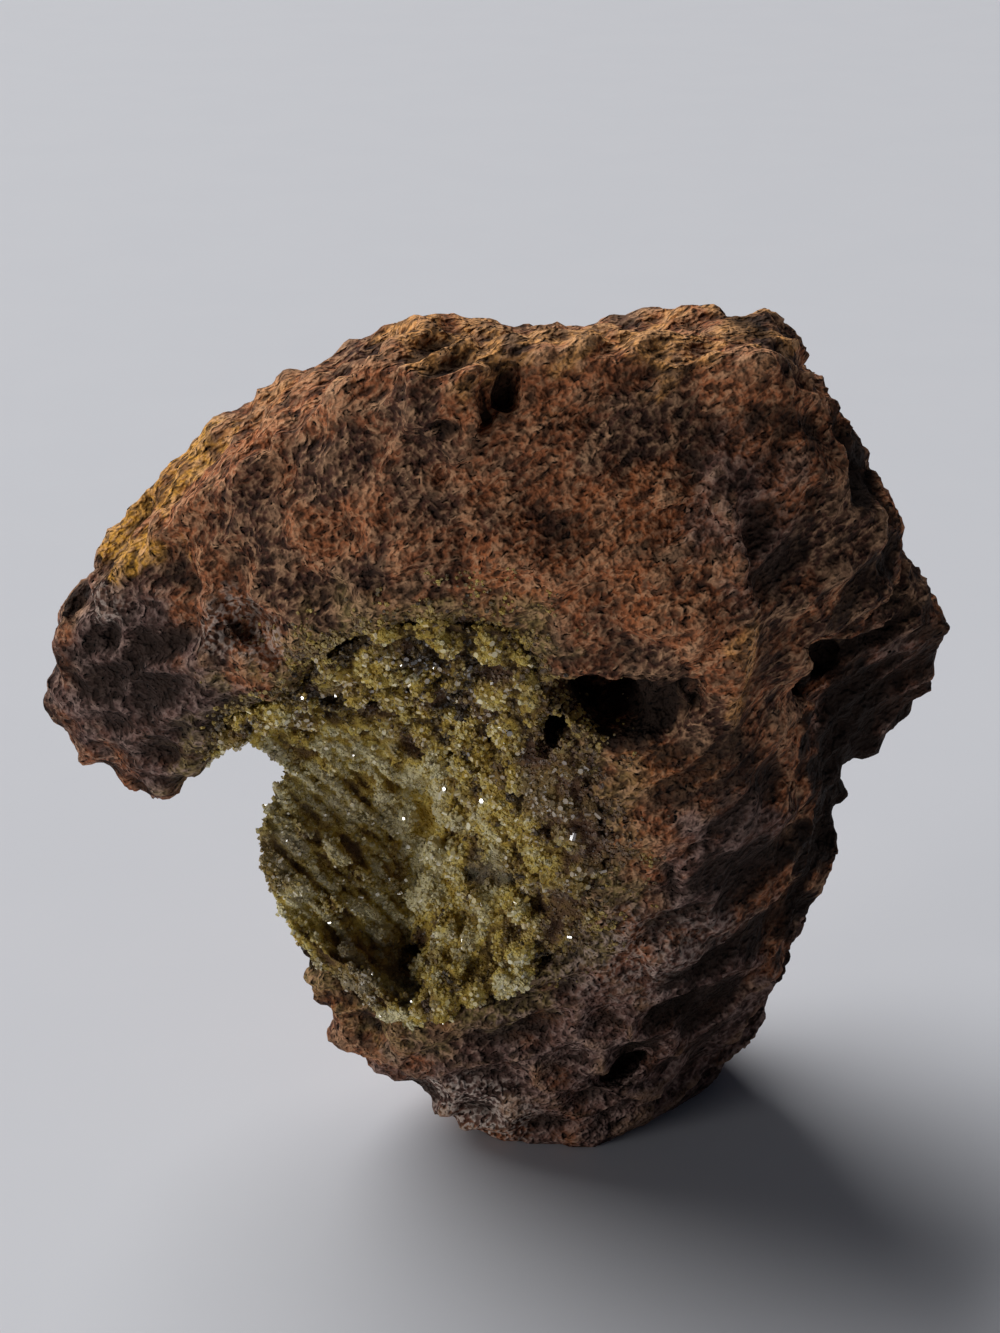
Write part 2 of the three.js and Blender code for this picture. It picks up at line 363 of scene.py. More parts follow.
def crease(obj: Object, creases: tuple[Crease, ...], weight: Array) -> Array:
    """Press creases and ridges into a surface along its normals.

    Args:
        obj: the piece.
        creases: what is pressed.
        weight: how freely each vertex moves, 0 to 1.

    Returns:
        How far each vertex came out, in millimetres.
    """
    points, facing = points_of(obj), normals_of(obj)
    fray = wander(points, CREASE_FRAY, Seed.CREASE)
    rise = np.zeros(len(points))
    for line in creases:
        gap = np.full(len(points), np.inf)
        for start, end in zip(np.array(line.path[:-1]), np.array(line.path[1:])):
            along = end - start
            share = np.clip((points - start) @ along / (along @ along), 0, 1)
            gap = np.minimum(gap, np.linalg.norm(points - start - share[:, None] * along, axis=1))
        rise -= line.depth * smooth(gap + CREASE_RAGGED * line.width * fray, line.width, 0.0)
    rise *= weight
    obj.data.vertices.foreach_set("co", ((points + facing * rise[:, None]) * MM).ravel())
    obj.data.update()
    return rise


def finish_piece(obj: Object, material: Material, flat: bool = False) -> None:
    """Shade a piece, dress it and let it ride on the specimen's one body.

    Args:
        obj: the piece.
        material: its finish.
        flat: whether its faces are flat, as crystal faces are.
    """
    only(obj)
    if flat:
        bpy.ops.object.shade_flat()
    else:
        bpy.ops.object.shade_smooth()
    obj.vertex_groups.clear()
    obj.data.materials.clear()
    obj.data.materials.append(material)
    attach(obj, BODY)
    log.info("%s: %d faces", obj.name, len(obj.data.polygons))


def add_node(tree: NodeTree, kind: str, inputs: dict | None = None, **settings: object) -> Node:
    """Add one node with its settings and links.

    Args:
        tree: the material's node tree.
        kind: the node's type, without ShaderNode.
        inputs: what each input takes, by its name or number: a value, a colour code or an output.
        settings: the node's own properties.

    Returns:
        The node.
    """
    made = tree.nodes.new("ShaderNode" + kind)
    for key, value in settings.items():
        setattr(made, key, value)
    for key, value in (inputs or {}).items():
        if isinstance(value, NodeSocket):
            tree.links.new(value, made.inputs[key])
        else:
            made.inputs[key].default_value = linear(value) if isinstance(value, str) else value
    return made


@dataclass(frozen=True)
class Grain:
    """A noise in a finish: the size of its lumps in millimetres, its finer scales and their strength."""

    size: float
    detail: float = 3.0
    rough: float = 0.6

    def inputs(self, place: NodeSocket) -> dict[str, object]:
        """What a noise texture takes to draw it at the coordinates."""
        scale = 1 / (self.size * MM)
        return {"Vector": place, "Scale": scale, "Detail": self.detail, "Roughness": self.rough}


@dataclass(frozen=True)
class Coat:
    """A colour that shows where a value lies past start, and up to its top where it lies past end."""

    start: float
    end: float
    top: float = 1.0

    def lay(
        self, tree: NodeTree, value: NodeSocket, under: object, over: object, top: object = None
    ) -> NodeSocket:
        """Lay the coat over what is there.

        Args:
            tree: the material's node tree.
            value: what decides where it shows.
            under: the colour below, a hex code or an output.
            over: the coat's colour, a hex code or an output.
            top: an output that stands in for its top.

        Returns:
            The colour that results.
        """
        reach = {0: value, 1: self.start, 2: self.end, 3: 0.0, 4: self.top if top is None else top}
        share = add_node(tree, "MapRange", reach, interpolation_type="SMOOTHSTEP").outputs[0]
        return add_node(tree, "Mix", {0: share, 6: under, 7: over}, data_type="RGBA").outputs[2]


def start_material(name: str, **constants: object) -> tuple[Material, NodeTree, Node, NodeSocket]:
    """A material with a shader and nothing on it yet.

    Args:
        name: its name.
        constants: the shader's own values, each named as its input is, with _ for a space.

    Returns:
        The material, its tree, its shader and the object's coordinates.
    """
    material = bpy.data.materials.new(name)
    material.use_nodes = True
    tree = material.node_tree
    tree.nodes.clear()
    inputs = {key.replace("_", " "): value for key, value in constants.items()}
    shader = add_node(tree, "BsdfPrincipled", inputs)
    add_node(tree, "OutputMaterial", {"Surface": shader.outputs[0]})
    place = add_node(tree, "TexCoord").outputs["Object"]
    return material, tree, shader, place


@dataclass(frozen=True)
class GossanFinish:
    """Gossan, the weathered cap of an ore vein: earthy goethite and limonite, broken and weathered."""

    earth: str = "#B46D46"
    dark: str = "#5A3A2E"
    tan: str = "#CFA17A"
    rust: str = "#BC6B3B"
    ochre: str = "#F0AE42"
    plum: str = "#70554E"
    ash: str = "#AC9084"
    dust: str = "#CDBAAC"
    olive: str = "#96814F"
    # paler fresh breaks, and the painted highlight of the lit top and ridges
    fresh_and_highlight: str = "#F0AC64"
    # the dark of the fine grain, and the colour of the painted shade in hollows, cracks and shaded faces
    grain_and_shade_dark: str = "#261B15"
    roughness: float = 0.9
    ior: float = 1.5
    lustre: float = 0.15
    coarse: Grain = Grain(9.0)
    middle: Grain = Grain(2.6, 2.0, 0.55)
    # goethite's own grain is a tenth of this; it is drawn coarser, as no view would show it
    fine: Grain = Grain(0.6, 1.0, 0.5)
    streaks: Grain = Grain(0.65, 1.0, 0.5)
    streak_length: float = 2.2
    darkened: Coat = Coat(0.44, 0.58)
    patched: Coat = Coat(0.0, 1.0, 0.9)
    patch_torn: float = 2.5
    worn: tuple[Coat, ...] = (Coat(0.5, 0.66, 0.4), Coat(0.5, 0.7, 0.55), Coat(0.5, 0.7, 0.45))
    sooty: tuple[Coat, ...] = (Coat(0.47, 0.32, 0.6), Coat(0.5, 0.32, 0.75), Coat(0.5, 0.32, 0.6))
    dusted: Coat = Coat(0.46, 0.6)
    # painted shade: hollows and cracks of the relief are darkened
    hollow_painted_shade: Coat = Coat(-0.25, -1.2, 0.86)
    crack_painted_shade: Coat = Coat(-1.3, -2.2, 0.9)
    # crests are paled, partly wear and partly painted highlight
    worn_and_highlit_crests: Coat = Coat(0.2, 1.2, 0.35)
    crumb: float = 0.9
    crumb_depth: float = 0.35
    crumb_strength: float = 0.8
    depths: Point = (1.4, 0.75, 0.65)

    def material(self) -> Material:
        """Mix the gossan.

        Returns:
            The material.
        """
        # iron oxide gives a dull brown from rust to ochre that changes within millimetres, the break
        # a granular surface with no shine, and what was once a wet crack is purple-grey
        material, tree, shader, place = start_material(
            "gossan, weathered", Roughness=self.roughness, IOR=self.ior, Specular_IOR_Level=self.lustre
        )
        lie = {"Vector": place, "Rotation": SLANT, "Scale": (1.0, 1.0, self.streak_length)}
        slanted = add_node(tree, "Mapping", lie, vector_type="TEXTURE").outputs[0]
        coarse, middle, fine = (
            add_node(tree, "TexNoise", grain.inputs(place)).outputs[0]
            for grain in (self.coarse, self.middle, self.fine)
        )
        streaks = add_node(tree, "TexNoise", self.streaks.inputs(slanted)).outputs[0]
        scales = (middle, streaks, fine)
        tints = {name: getattr(self, name) for name in ("rust", "plum", "olive", "ochre", "fresh_and_highlight")}
        marks = {
            name: add_node(tree, "Attribute", attribute_name=name).outputs["Fac"]
            for name in (*tints, "dust", "relief")
        }
        colour = self.darkened.lay(tree, coarse, self.earth, self.dark)
        for name, code in tints.items():
            colour = self.patched.lay(tree, self.torn(tree, middle, marks[name]), colour, code)
        rubbed = add_node(tree, "Mix", {0: marks["plum"], 6: self.tan, 7: self.ash}, data_type="RGBA")
        for over, coats in ((rubbed.outputs[2], self.worn), (self.grain_and_shade_dark, self.sooty)):
            for scale, coat in zip(scales, coats):
                colour = coat.lay(tree, scale, colour, over)
        colour = self.dusted.lay(tree, fine, colour, self.dust, top=marks["dust"])
        # painted shade: low relief, which includes the shaded faces written as depth, turns dark; high
        # relief turns tan, partly wear and partly painted highlight
        for coat, code in ((self.hollow_painted_shade, self.grain_and_shade_dark), (self.crack_painted_shade, self.grain_and_shade_dark), (self.worn_and_highlit_crests, self.tan)):
            colour = coat.lay(tree, marks["relief"], colour, code)
        tree.links.new(colour, shader.inputs["Base Color"])
        crumbs = add_node(tree, "TexVoronoi", {"Vector": place, "Scale": 1 / (self.crumb * MM)}).outputs[0]
        knobs = {"Height": crumbs, "Strength": self.crumb_strength, "Distance": self.crumb_depth * MM}
        bump = add_node(tree, "Bump", knobs, invert=True)
        for scale, depth in zip(scales, self.depths):
            knobs = {"Height": scale, "Strength": 1.0, "Distance": depth * MM, "Normal": bump.outputs[0]}
            bump = add_node(tree, "Bump", knobs)
        tree.links.new(bump.outputs[0], shader.inputs["Normal"])
        return material

    def torn(self, tree: NodeTree, noise_at: NodeSocket, weight: NodeSocket) -> NodeSocket:
        """Tear a patch's soft edge into flecks.

        Args:
            tree: the material's node tree.
            noise_at: the noise that tears it.
            weight: how much each point belongs to the patch.

        Returns:
            The torn weight.
        """
        off = add_node(tree, "Math", {0: noise_at, 1: MIDDLE}, operation="SUBTRACT").outputs[0]
        fleck = {0: off, 1: self.patch_torn, 2: weight}
        flecks = add_node(tree, "Math", fleck, operation="MULTIPLY_ADD").outputs[0]
        return add_node(tree, "Math", {0: flecks, 1: weight}, operation="MULTIPLY").outputs[0]


@dataclass(frozen=True)
class PyromorphiteFinish:
    """Pyromorphite, a lead phosphate grown as a crust of small crystals: resinous and translucent.

    It is mixed for the crust or for some of its crystals: roughness is how dull the faces are, lustre
    how strongly they mirror, as the shader's specular level, and rough whether they are granular.
    """

    name: str
    roughness: float
    lustre: float
    rough: bool = True
    # the darkest colour, the painted shade in the gaps between clumps
    gap: str = "#3F301C"
    olive: str = "#846A36"
    leaf: str = "#C8A850"
    straw: str = "#DEC468"
    cream: str = "#EDE0B0"
    silver: str = "#A8A387"
    brown: str = "#735542"
    ior: float = 2.05
    soak: float = 0.12
    soak_reach: float = 0.5
    soak_colour: Point = (0.9, 0.8, 0.3)
    fine: Grain = Grain(0.7, 3.0, 0.7)
    stir: float = 0.7
    stops: tuple[float, ...] = (0.1, 0.32, 0.52, 0.74, 0.98)
    grain: float = 0.6
    grain_depth: float = 0.4
    fine_depth: float = 0.9
    bump_strength: float = 0.8

    def material(self) -> Material:
        """Mix the pyromorphite.

        Returns:
            The material.
        """
        # its high index gives each face a greasy glint, light soaks a little way in and softens the edges,
        # and iron takes the yellow-green to olive and brown; the gaps are darker still, as painted shade
        material, tree, shader, place = start_material(
            self.name,
            Roughness=self.roughness,
            IOR=self.ior,
            Specular_IOR_Level=self.lustre,
            Subsurface_Weight=self.soak,
            Subsurface_Radius=self.soak_colour,
            Subsurface_Scale=self.soak_reach * MM,
        )
        tone = add_node(tree, "Attribute", attribute_name="tone").outputs["Fac"]
        fine = add_node(tree, "TexNoise", self.fine.inputs(place)).outputs[0]
        off = add_node(tree, "Math", {0: fine, 1: MIDDLE}, operation="SUBTRACT").outputs[0]
        stirred = add_node(tree, "Math", {0: off, 1: self.stir, 2: tone}, operation="MULTIPLY_ADD")
        ramp = add_node(tree, "ValToRGB", {0: stirred.outputs[0]})
        codes = (self.gap, self.olive, self.leaf, self.straw, self.cream)
        while len(ramp.color_ramp.elements) < len(codes):
            ramp.color_ramp.elements.new(0.5)
        for element, at, code in zip(ramp.color_ramp.elements, self.stops, codes):
            element.position = at
            element.color = linear(code)
        colour = ramp.outputs[0]
        for mark, code in (("silver", self.silver), ("brown", self.brown)):
            weight = add_node(tree, "Attribute", attribute_name=mark).outputs["Fac"]
            colour = add_node(tree, "Mix", {0: weight, 6: colour, 7: code}, data_type="RGBA").outputs[2]
        tree.links.new(colour, shader.inputs["Base Color"])
        if not self.rough:
            return material
        grains = add_node(tree, "TexVoronoi", {"Vector": place, "Scale": 1 / (self.grain * MM)}).outputs[0]
        knobs = {"Height": grains, "Strength": self.bump_strength, "Distance": self.grain_depth * MM}
        bump = add_node(tree, "Bump", knobs, invert=True)
        knobs |= {"Height": fine, "Distance": self.fine_depth * MM, "Normal": bump.outputs[0]}
        bump = add_node(tree, "Bump", knobs)
        tree.links.new(bump.outputs[0], shader.inputs["Normal"])
        return material


@dataclass
class Gossan:
    """The lump of gossan, weathered all over and flat only where it stands."""

    voxel: float = 0.57
    foot_rise: Range = (0.2, 2.5)
    front_turn: Range = (0.3, 0.8)
    front_rise: Range = (15, 40)
    front_calm: Point = (0.3, 0.4, 0.7)
    crest_turn: Range = (0.3, 0.7)
    crest_rise: Range = (78, 84)
    broken_size: float = 8.0
    broken: Range = (-0.15, 0.4)
    pitted_size: float = 11.0
    pitted: Range = (0.0, 0.3)
    blunting: float = 0.5
    blunting_rounds: int = 3
    olive_reach: float = 9.0
    olive_fray: Range = (3.0, 4.0)
    # how far the painted shade's edges fray, and how deep it is written
    shade_fray: float = 0.5
    shade_depth: float = 2.5
    loose_fray: float = 0.7
    fresh_and_highlight_fray: float = 0.6
    bites: tuple[Bite, ...] = (
        Bite("ridges", Basis.RIDGE, 5.0, 1.5, "loose", (1.0, 1.0, 2.0), SLANT, middle=0.85,
             settings={"musgrave_type": "RIDGED_MULTIFRACTAL"}),
        Bite("lumps", Basis.CELL, 3.6, -1.4, "top"),
        Bite("blocks", Basis.CELL, 8.0, -1.6, "loose", settings={"distance_metric": "CHEBYCHEV"}),
        Bite("chips", Basis.CELL, 2.8, -1.2, "crumbly", settings={"distance_metric": "CHEBYCHEV"}),
        Bite("holes", Basis.CELL, 4.2, 0.7, "pitted", middle=1.0, ramp=(0.1, 0.32)),
    )
    grains: tuple[Bite, ...] = (
        Bite("streaks", Basis.CLOUD, 1.4, 0.5, "loose", (1.0, 1.0, 3.0), SLANT,
             settings={"noise_depth": 1}),
        Bite("crumbs", Basis.CLOUD, 1.1, 0.45, "loose", settings={"noise_depth": 2}),
    )
    rust: tuple[Patch, ...] = patches(
        (1, -25, 77, 19, 9, 11, 0.75), (12.6, -24, 64, 3, 5, 9, 0.8),
        (6, -22.8, 53, 7, 6, 4, 0.8), (-1, -19, 34, 4, 7, 8, 0.5),
        (-26.7, -10.6, 19.8, 6, 7, 5, 1.0), (-8, -10, 94, 40, 20, 6, 0.5),
        (-33, -8, 84, 14, 12, 7, 0.7), (6, 20, 60, 20, 14, 22, 0.5),
    )
    ochre: tuple[Patch, ...] = patches(
        (-41, -5, 77, 8, 9, 8, 0.9), (-47, -6, 71, 6, 8, 5, 1.0), (-30, -6, 87, 6, 7, 4, 0.4),
        (-20, -8, 95, 12, 10, 4, 0.4), (-12, 24, 60, 9, 8, 10, 0.6),
    )
    plum: tuple[Patch, ...] = patches(
        (-44, -9, 55, 17, 16, 16, 1.0), (6, -15, 20, 22, 14, 18, 1.0),
        (-14, -10, 8, 14, 12, 10, 0.9), (10, -4, 6, 36, 32, 20, 1.0),
        (13, -19, 40, 10, 9, 15, 1.0), (28, -3, 52, 12, 12, 14, 0.8),
        (12.5, -22, 79, 8, 7, 10, 0.7),
    )
    # paler fresh breaks, and a painted highlight on the sunlit top strip and on the ridges of the display
    # face
    fresh_and_highlight: tuple[Patch, ...] = patches(
        (-8, -8, 96, 44, 20, 7, 1.1), (-34, -6, 85, 12, 10, 5, 0.6),
        (6, -22.8, 53, 7, 6, 4, 0.5), (12.6, -24, 65, 2.5, 4, 8, 0.9),
        (5, 22, 62, 16, 10, 16, 0.4),
    )
    dust: tuple[Patch, ...] = patches(
        (-14, -11.5, 5, 9, 5, 6, 0.9), (-49, -11, 65, 3, 3, 3, 0.6),
        (-34, -18, 66, 7, 4, 4, 0.6), (4, -18, 30, 12, 6, 9, 0.3),
    )
    sheltered: tuple[Patch, ...] = patches(
        (1.5, -21, 60, 9, 9, 6, 0.9), (-9.4, -21, 90.5, 2.4, 4, 3.8, 1.0),
        (22, -9, 60, 4, 6, 4, 0.7),
    )
    # painted shade: the faces on the right turned away from the light, the vug, the notch by the bump and
    # other recesses
    shaded_rock: tuple[Patch, ...] = patches(
        (2.5, -19, 59.5, 8, 7, 4.5, 1.0), (-5, -11, 57, 4, 7, 5, 1.0),
        (-53, -6, 64, 3, 4, 3, 0.6), (3.5, -11, 12, 5, 4, 3, 0.7), (23, -6, 57, 5, 6, 3, 0.8),
        (-9.6, -19.5, 90, 1.4, 3, 2.8, 0.5), (14, -21, 79, 8, 7, 12, 0.35),
        (25, -6, 66, 10, 14, 18, 0.5), (-46, -9, 54, 14, 14, 13, 0.4),
        (15, -17, 38, 9, 8, 12, 0.4), (14, -20, 50, 5, 6, 9, 0.5),
        (26, -6, 40, 7.5, 13, 24, 1.1), (24.5, -8, 80, 4.5, 9, 9, 0.8),
        (13, -14, 27, 8, 9, 9, 0.4), (8, -12, 18, 8, 8, 7, 0.3), (9, -23, 52, 6, 5, 6, 0.3),
        (-26.7, -10.6, 19.8, 6, 7, 5, 0.3), (26, 2, 32, 8, 16, 24, 0.65),
        (32, 0, 56, 8, 12, 9, 0.5), (31, 0, 52, 9, 12, 9, 0.55), (-46, -6, 47, 13, 12, 8, 0.35),
    )
    creases: tuple[Crease, ...] = (
        # the cleft under the right corner's ledge
        Crease(
            1.6, 1.6,
            ((19.9, -10, 56), (21, -9, 58.2), (23, -7.6, 58.5), (26.3, -8.2, 60.1), (30.3, -6.7, 60.9)),
        ),
        Crease(1.2, -0.8, ((20.5, -10, 60.5), (24, -9.5, 61.5), (30.5, -7.2, 62.8))),
        # a gash low on the right
        Crease(1.1, 1.1, ((6.3, -21.2, 40.7), (8.3, -21.6, 42.6), (10.4, -21.1, 43.6))),
        Crease(0.9, 0.9, ((7.3, -20.9, 39.6), (7.2, -20.2, 36.9))),
        # round the bump on the crest
        Crease(
            1.1, 1.2,
            ((-11.2, -21.4, 90.5), (-11.0, -22.2, 88.9), (-12.5, -24.0, 88.3), (-15.2, -24.8, 88.0)),
        ),
        Crease(0.9, 0.8, ((-15.5, -24.4, 85.6), (-15.2, -23.4, 82.8))),
        Crease(0.9, 0.6, ((-12.6, -23.4, 84.0), (-12.3, -23.8, 82.0))),
        # the shallow end of the vug
        Crease(3.2, 2.8, ((1.5, -24.5, 61.2), (6.4, -24.6, 60.4))),
        # ridges of the display face
        Crease(
            1.3, -0.8,
            ((4.1, -26.1, 74.4), (5.6, -25.1, 76.2), (7.3, -24.2, 77.8), (8.8, -23.4, 79.0)),
        ),
        Crease(1.0, -0.6, ((-0.9, -26.1, 71.6), (0.3, -26.1, 70.4), (1.8, -26.0, 68.2))),
        Crease(
            1.8, -1.3,
            ((9.6, -22.0, 83.3), (10.6, -23.3, 78.9), (11.6, -24.6, 74.6), (12.5, -25.0, 69.7)),
        ),
        Crease(1.0, 0.7, ((10.8, -24.6, 73.0), (10.0, -25.6, 69.0), (9.0, -26.0, 66.0))),
        # pits and folds of the beak
        Crease(1.2, 1.0, ((-42.4, -13.6, 71.1), (-39.8, -15.7, 69.3), (-37.5, -15.8, 67.8))),
    )

    def build(self) -> tuple[Object, Array]:
        """Weather the CAD lump.

        Returns:
            The lump, not yet dressed, and how far each vertex came out, in millimetres.
        """
        lump = cad_copy("gossan_matrix", "gossan_lump", self.voxel)
        points, facing = points_of(lump), normals_of(lump)
        height = points[:, 2]
        held = smooth(height, *self.foot_rise)
        loose = held * (1 - spread(points, self.sheltered, Seed.SHELTER, 0.0))
        front = smooth(-facing[:, 1], *self.front_turn) * smooth(height, *self.front_rise)
        broken = smooth(wander(points, self.broken_size, Seed.BROKEN, 3), *self.broken)
        pitted = smooth(wander(points, self.pitted_size, Seed.PITTED), *self.pitted)
        calm, crumbly_calm, pitted_calm = self.front_calm
        write_group(lump, "loose", loose * (1 - calm * front))
        write_group(lump, "crumbly", loose * broken * (1 - crumbly_calm * front))
        crest = smooth(facing[:, 2], *self.crest_turn) * smooth(height, *self.crest_rise)
        write_group(lump, "top", crest)
        write_group(lump, "pitted", loose * pitted * (1 - pitted_calm * front))
        relief = weather(lump, self.bites) + crease(lump, self.creases, held)
        modify(lump, "SMOOTH", factor=self.blunting, iterations=self.blunting_rounds)
        relief += weather(lump, self.grains)
        for vertex in lump.data.vertices:
            vertex.co.z = max(vertex.co.z, 0.0)  # nothing lies under the floor
        return lump, relief

    def paint(self, lump: Object, points: Array, near: Array, relief: Array) -> None:
        """Write the numbers that the gossan finish reads.

        Args:
            lump: the lump.
            points: a place for each vertex, in millimetres.
            near: how far each is from the crust, which tints the rock round it.
            relief: how far each came out, in millimetres.
        """
        write_attribute(lump, "rust", spread(points, self.rust, Seed.RUST))
        write_attribute(lump, "ochre", spread(points, self.ochre, Seed.OCHRE, self.loose_fray))
        write_attribute(lump, "plum", spread(points, self.plum, Seed.PLUM))
        write_attribute(lump, "dust", spread(points, self.dust, Seed.DUST))
        write_attribute(lump, "fresh_and_highlight", spread(points, self.fresh_and_highlight, Seed.FRESH_AND_HIGHLIGHT, self.fresh_and_highlight_fray))
        size, reach = self.olive_fray
        fray = reach * wander(points, size, Seed.OLIVE, 3)
        write_attribute(lump, "olive", smooth(near + fray, self.olive_reach, 0.0))
        # the finish darkens what lies deep, so the painted shade of shaded faces and recesses is written
        # as depth
        painted_shade = spread(points, self.shaded_rock, Seed.SHADE_ROCK, self.shade_fray)
        write_attribute(lump, "relief", relief - self.shade_depth * painted_shade)


def distance_to(points: Array, others: Array) -> Array:
    """How far each point is from the nearest of the others.

    Args:
        points: places in millimetres.
        others: more places.

    Returns:
        A distance in millimetres for each point.
    """
    tree = KDTree(len(others))
    for index, other in enumerate(others):
        tree.insert(other, index)
    tree.balance()
    return np.array([tree.find(p)[2] for p in points])


def bvh_of(obj: Object) -> BVHTree:
    """A search tree of a piece's faces, in metres."""
    corners = [v.co for v in obj.data.vertices]
    return BVHTree.FromPolygons(corners, [p.vertices[:] for p in obj.data.polygons])


def open_side(points: Array, facing: Array, blocker: BVHTree, reach: float) -> Array:
    """Which points have nothing close in front of them.

    Args:
        points: places in millimetres.
        facing: the way each looks.
        blocker: what may be in the way.
        reach: how far ahead to look, in millimetres.

    Returns:
        True for each point that is open.
    """
    return np.array(
        [
            blocker.ray_cast(Vector(p) * MM, Vector(n), reach * MM)[0] is None
            for p, n in zip(points + CLEAR * facing, facing)
        ]
    )


@dataclass
class Druse:
    """The crust of pyromorphite that lines the hollow: clumps of crystals grown into one skin."""

    voxel: float = 0.34
    row_height: float = 0.8
    row_calm: float = 0.8
    row_from: Range = (-18.5, -22.5)
    row_below: Range = (54, 46)
    row_lean: float = math.radians(40)
    row_width: float = 0.9
    row_stretch: float = 7
    row_depth: float = 0.4
    # the relief between which the crust goes from painted shade in its gaps to pale clump tops
    clump_percentiles: Range = (10, 85)
    base_tone: float = 0.13
    clump_tone: float = 0.53
    cloud_tone: float = 0.32
    cloud: float = 4.0
    row_tone: Range = (0.25, 0.4)
    pale_and_lit_tone: float = 0.45
    crust_shade_tone: float = 0.6
    rust: float = 0.55
    rust_size: float = 4.5
    rust_edge: Range = (0.0, 0.45)
    bites: tuple[Bite, ...] = (
        Bite("clumps", Basis.CELL, 3.0, -2.4, "even"),
        Bite("grains", Basis.CELL, 1.2, -0.8),
    )
    silver: tuple[Patch, ...] = patches(
        (-11, -11, 35, 3, 5, 4, 0.4), (-21, -9, 20, 3, 4, 3, 0.6), (-33, -5, 40, 5, 6, 8, 0.25),
    )
    brown: tuple[Patch, ...] = patches(
        (1, -22, 47, 7, 6, 9, 0.85), (-3, -19, 33, 4, 6, 9, 0.6), (-4, -20, 50, 6, 7, 8, 0.75),
        (-22, -6, 21, 4, 4, 4, 0.6), (-25.5, -11, 22, 5, 6, 5, 0.65),
        (-4, -20, 62, 6, 6, 6, 0.4), (-27, -4, 34, 9, 8, 10, 0.3),
    )
    # paler crust such as the cream rim at the toe, and painted light where the valley and the lower slope
    # lie in shade
    pale_and_lit: tuple[Patch, ...] = patches(
        (-14, -8, 36, 6, 8, 13, 0.45), (-18, -3, 34, 3.5, 9, 15, 1.45),
        (-26, -4, 40, 9, 8, 10, 0.2), (-11, -14, 27, 8, 8, 8, 0.45),
        (-21, -14, 17, 5, 4, 3, 1.4), (-24, -9, 24, 4, 5, 3, 0.5),
    )
    # painted shade: the upper hollow under the brow, and the slot at the toe
    shaded_crust: tuple[Patch, ...] = patches(
        (-14.9, -15.5, 58, 6, 7, 6, 0.65), (-15.5, -21, 64, 6, 4, 3, 0.65),
        (-19, -8, 19, 2, 4, 5, 0.35),
    )

    def build(self) -> tuple[Object, Array]:
        """Turn the CAD crust into clumps.

        Returns:
            The crust, not yet dressed, and how far each vertex came out, in millimetres.
        """
        crust = cad_copy("pyromorphite_druse", "druse_crust", self.voxel)
        points = points_of(crust)
        rows = self.rows(points)
        stripes = self.striping(points)
        write_group(crust, "even", 1 - self.row_calm * rows)
        relief = weather(crust, self.bites)
        rise = self.row_height * rows * stripes
        points = points_of(crust) + normals_of(crust) * rise[:, None]
        crust.data.vertices.foreach_set("co", (points * MM).ravel())
        crust.data.update()
        return crust, relief + rise

    def rows(self, points: Array) -> Array:
        """How much each point belongs to the left slope, whose crystals stand in rows."""
        return smooth(points[:, 0], *self.row_from) * smooth(points[:, 2], *self.row_below)

    def striping(self, points: Array) -> Array:
        """A noise drawn out along the rows of the left slope.

        Args:
            points: places in millimetres.

        Returns:
            About -1 to 1 for each point.
        """
        sine, cosine = math.sin(self.row_lean), math.cos(self.row_lean)
        along = points @ np.array([-sine, 0.0, cosine])
        across = points @ np.array([cosine, 0.0, sine])
        drawn = np.column_stack([across, self.row_depth * points[:, 1], along / self.row_stretch])
        return wander(drawn, self.row_width, Seed.STRIPES)

    def tone(self, points: Array, relief: Array) -> Array:
        """How pale the crust is at each point, from its dark gaps at 0 to cream at 1; the gaps and shaded
        places carry painted shade.

        Args:
            points: places in millimetres.
            relief: how far each stands out, in millimetres.

        Returns:
            A tone for each point.
        """
        # painted shade: the low gaps between clumps are darker and the clump tops paler, by relief
        low, high = np.percentile(relief, self.clump_percentiles)
        tone = self.base_tone + self.clump_tone * smooth(relief, low, high)
        tone += self.cloud_tone * wander(points, self.cloud, Seed.TONE, 3)
        even, striped = self.row_tone
        tone += self.rows(points) * (even + striped * self.striping(points))
        tone += self.pale_and_lit_tone * spread(points, self.pale_and_lit, Seed.PALE_AND_LIT)
        # painted shade lowers the tone in the shaded places
        return tone - self.crust_shade_tone * spread(points, self.shaded_crust, Seed.SHADE_CRUST)

    def paint(self, obj: Object, points: Array, tone: Array) -> None:
        """Write the numbers that the pyromorphite finish reads.

        Args:
            obj: the crust or some of its crystals.
            points: a place for each vertex, in millimetres.
            tone: a tone for each vertex.
        """
        write_attribute(obj, "tone", tone)
        write_attribute(obj, "silver", spread(points, self.silver, Seed.SILVER))
        rusty = self.rust * smooth(wander(points, self.rust_size, Seed.RUSTY, 3), *self.rust_edge)
        rusty = rusty * (1 - spread(points, self.pale_and_lit, Seed.PALE_AND_LIT))
        write_attribute(obj, "brown", np.maximum(spread(points, self.brown, Seed.BROWN), rusty))


